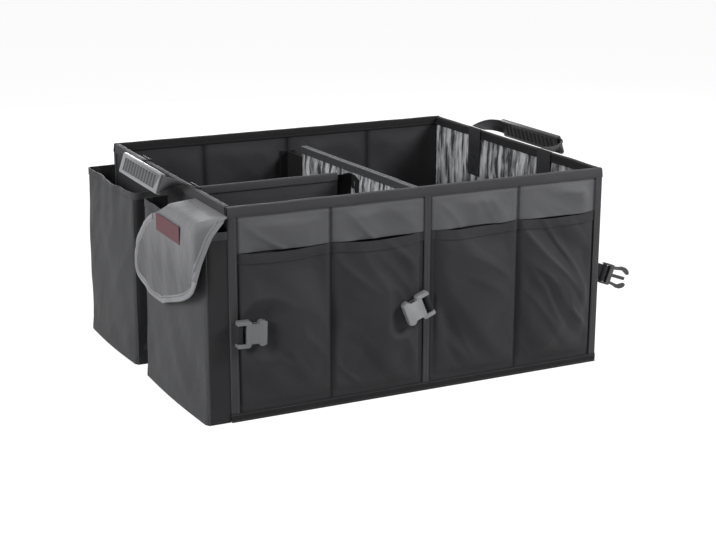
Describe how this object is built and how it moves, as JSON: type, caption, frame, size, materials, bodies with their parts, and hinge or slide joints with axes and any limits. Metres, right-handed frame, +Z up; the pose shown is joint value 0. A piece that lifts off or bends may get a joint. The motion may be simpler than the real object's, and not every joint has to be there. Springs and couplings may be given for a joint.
{
  "type": "car trunk organizer",
  "caption": "Collapsible open-top fabric car trunk organizer with stiff walls, dividers, outside pockets with a flap, two strap handles and side-release buckles.",
  "frame": {"origin": "centre of the main box's footprint, on the floor under the base sheet", "axes": "+X along the length of the box, from the pocketed end towards the plain end; -Y is the front with the four pocket bays; +Z up"},
  "size_m": [0.7129, 0.5255, 0.3222],
  "materials": {
    "shell_cloth": "coated oxford cloth, matte",
    "base_panel_cloth": "coated cloth over a hard panel",
    "stiffener_board": "extruded polyethylene board",
    "binding_tape": "woven edge tape",
    "front_pocket_cloth": "ripstop oxford cloth",
    "upper_band_cloth": "coated oxford cloth, slight sheen",
    "end_pocket_cloth": "coated oxford cloth",
    "divider_cloth": "coated lining cloth with a sheen",
    "divider_tape": "woven edge tape with a pale stripe",
    "hook_strip": "hook tape",
    "webbing": "polypropylene webbing",
    "left_grip_rubber": "moulded ribbed grip",
    "right_grip_rubber": "moulded ribbed grip",
    "flap_cloth": "coated oxford cloth",
    "flap_tape": "woven edge tape",
    "label_cloth": "plain woven label",
    "female_buckle_plastic": "moulded acetal, satin",
    "male_buckle_plastic": "moulded acetal, satin"
  },
  "bodies": {
    "organizer_body": {"base_sheet": "shell_cloth", "base_board_left": "base_panel_cloth", "base_board_right": "base_panel_cloth", "front_stiffener_1": "stiffener_board", "front_stiffener_2": "stiffener_board", "front_stiffener_3": "stiffener_board", "front_stiffener_4": "stiffener_board", "front_wall_cover": "shell_cloth", "back_stiffener_1": "stiffener_board", "back_stiffener_2": "stiffener_board", "back_stiffener_3": "stiffener_board", "back_stiffener_4": "stiffener_board", "back_wall_cover": "shell_cloth", "left_stiffener_front": "stiffener_board", "left_stiffener_back": "stiffener_board", "left_wall_cover": "shell_cloth", "right_stiffener_front": "stiffener_board", "right_stiffener_back": "stiffener_board", "right_wall_cover": "shell_cloth", "rim_binding_front": "binding_tape", "rim_binding_back": "binding_tape", "rim_binding_left": "binding_tape", "rim_binding_right": "binding_tape", "corner_binding_front_left": "binding_tape", "corner_binding_back_left": "binding_tape", "corner_binding_front_right": "binding_tape", "corner_binding_back_right": "binding_tape", "bottom_binding_front": "binding_tape", "bottom_binding_back": "binding_tape", "bottom_binding_right": "binding_tape", "front_centre_binding": "binding_tape", "front_pocket_left": "front_pocket_cloth", "front_pocket_right": "front_pocket_cloth", "front_upper_band": "upper_band_cloth", "left_pocket_front": "end_pocket_cloth", "left_pocket_back": "end_pocket_cloth", "centre_divider_cover": "divider_cloth", "centre_divider_stiffener": "stiffener_board", "centre_divider_binding": "divider_tape", "cross_divider_cover": "divider_cloth", "cross_divider_stiffener": "stiffener_board", "cross_divider_binding": "divider_tape", "cross_divider_hook_flange": "hook_strip", "left_handle_anchor_front": "webbing", "left_handle_anchor_back": "webbing", "right_handle_anchor_front": "webbing", "right_handle_anchor_back": "webbing", "buckle_tab_left": "webbing", "buckle_tab_centre": "webbing", "buckle_tab_right": "webbing"},
    "flap": {"pocket_flap": "flap_cloth", "pocket_flap_binding": "flap_tape", "pocket_flap_label": "label_cloth"},
    "left_handle": {"left_handle_webbing": "webbing", "left_handle_grip": "left_grip_rubber"},
    "right_handle": {"right_handle_webbing": "webbing", "right_handle_grip": "right_grip_rubber"},
    "left_buckle": {"female_buckle_left": "female_buckle_plastic"},
    "centre_buckle": {"female_buckle_centre": "female_buckle_plastic"},
    "right_buckle": {"male_buckle_right": "male_buckle_plastic"}
  },
  "joints": [
    {"name": "flap_hinge", "type": "hinge", "parent": "organizer_body", "child": "flap", "pos_m": [-0.302, 0, 0.292], "axis": [0, 1, 0], "range_deg": [0, 100]},
    {"name": "left_handle_pivot", "type": "hinge", "parent": "organizer_body", "child": "left_handle", "pos_m": [-0.2955, 0, 0.3066], "axis": [0, 1, 0], "range_deg": [-4, 140]},
    {"name": "right_handle_pivot", "type": "hinge", "parent": "organizer_body", "child": "right_handle", "pos_m": [0.2955, 0, 0.3066], "axis": [0, -1, 0], "range_deg": [-4, 140]},
    {"name": "left_buckle_pivot", "type": "hinge", "parent": "organizer_body", "child": "left_buckle", "pos_m": [-0.29, -0.264, 0.13], "axis": [-0.0349, 0, -0.9994], "range_deg": [0, 110]},
    {"name": "centre_buckle_pivot", "type": "hinge", "parent": "organizer_body", "child": "centre_buckle", "pos_m": [-0.001, -0.2645, 0.137], "axis": [-0.3746, 0, 0.9272], "range_deg": [0, 110]},
    {"name": "right_buckle_pivot", "type": "hinge", "parent": "organizer_body", "child": "right_buckle", "pos_m": [0.312, -0.249, 0.139], "axis": [0.342, 0, 0.9397], "range_deg": [-60, 60]}
  ]
}
